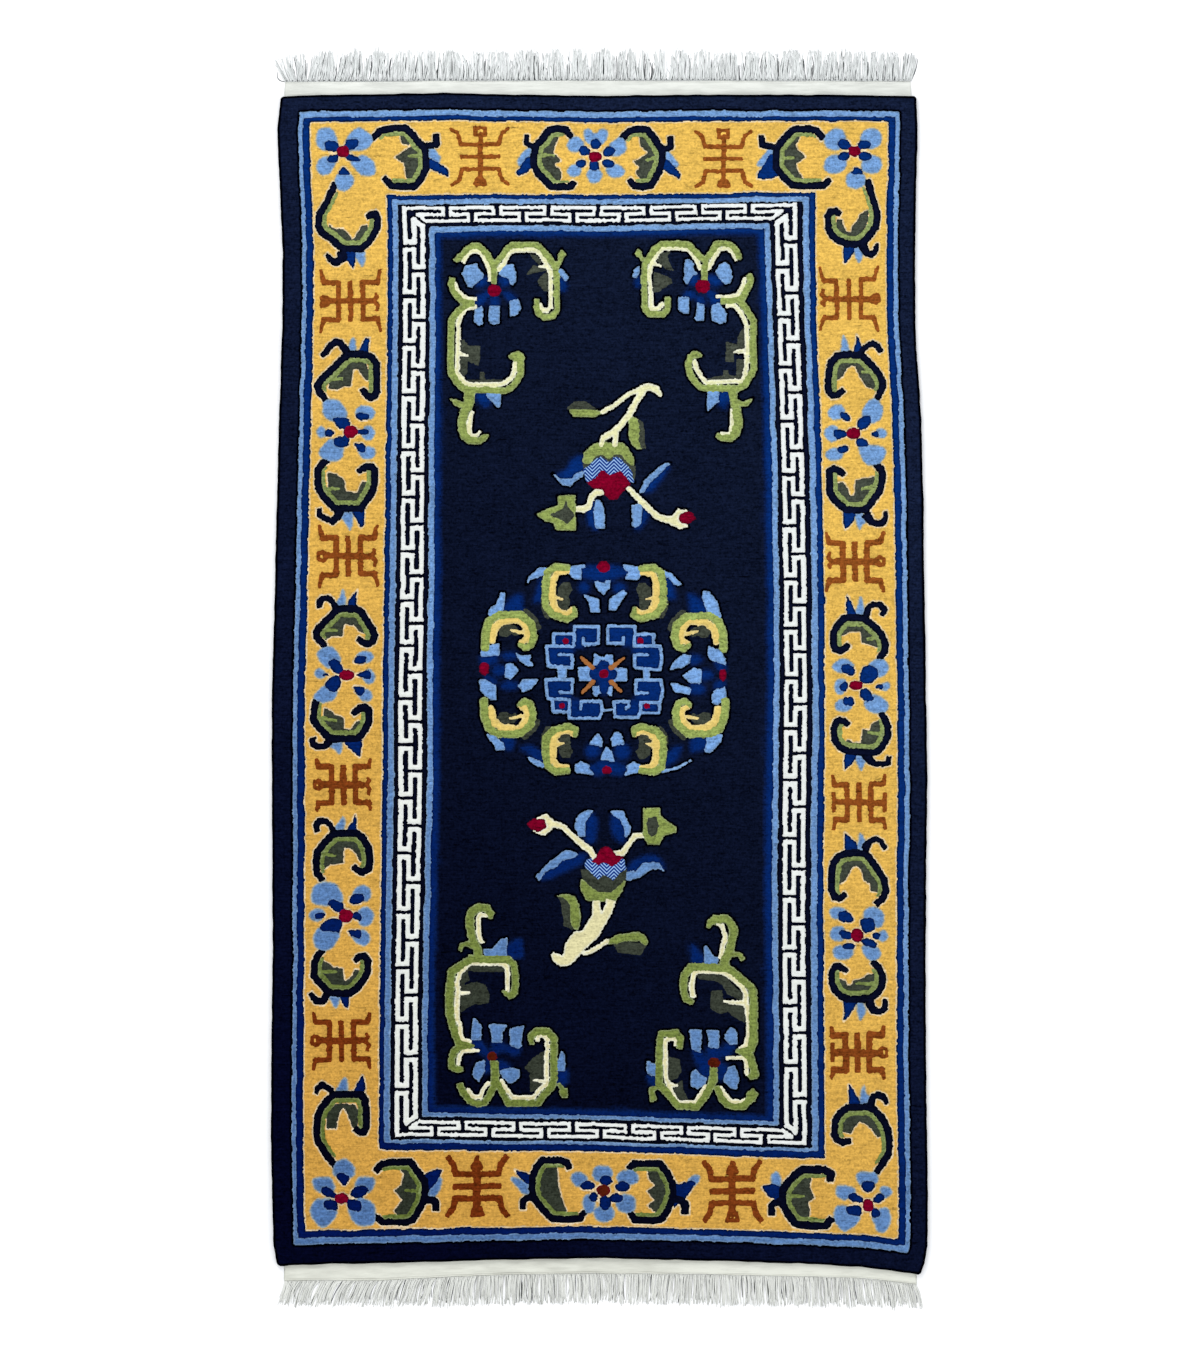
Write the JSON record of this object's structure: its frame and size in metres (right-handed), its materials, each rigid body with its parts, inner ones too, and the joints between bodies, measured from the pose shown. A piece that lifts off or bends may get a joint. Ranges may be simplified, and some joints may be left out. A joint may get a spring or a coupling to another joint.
{
  "type": "chinese art deco rug",
  "caption": "Flat hand-knotted wool rug with a carved pile, a fret and flower border, woven cotton headers and a cotton fringe at both ends.",
  "frame": {"origin": "on the floor below the middle of the rug's overall box, fringes included", "axes": "+Y along the rug's length, towards the end with the longer fringe strands; +X across it, to the right when looking down with +Y up; +Z up out of the pile"},
  "size_m": [1.2312, 2.362, 0.013],
  "materials": {
    "wool_pile": "clipped and carved wool pile, soft sheen",
    "header_cotton": "flat-woven cotton",
    "fringe_cotton": "loose cotton yarn"
  },
  "bodies": {
    "root": {"pile": "wool_pile", "header_top": "header_cotton", "header_bottom": "header_cotton", "fringe_top": "fringe_cotton", "fringe_bottom": "fringe_cotton"}
  },
  "joints": []
}
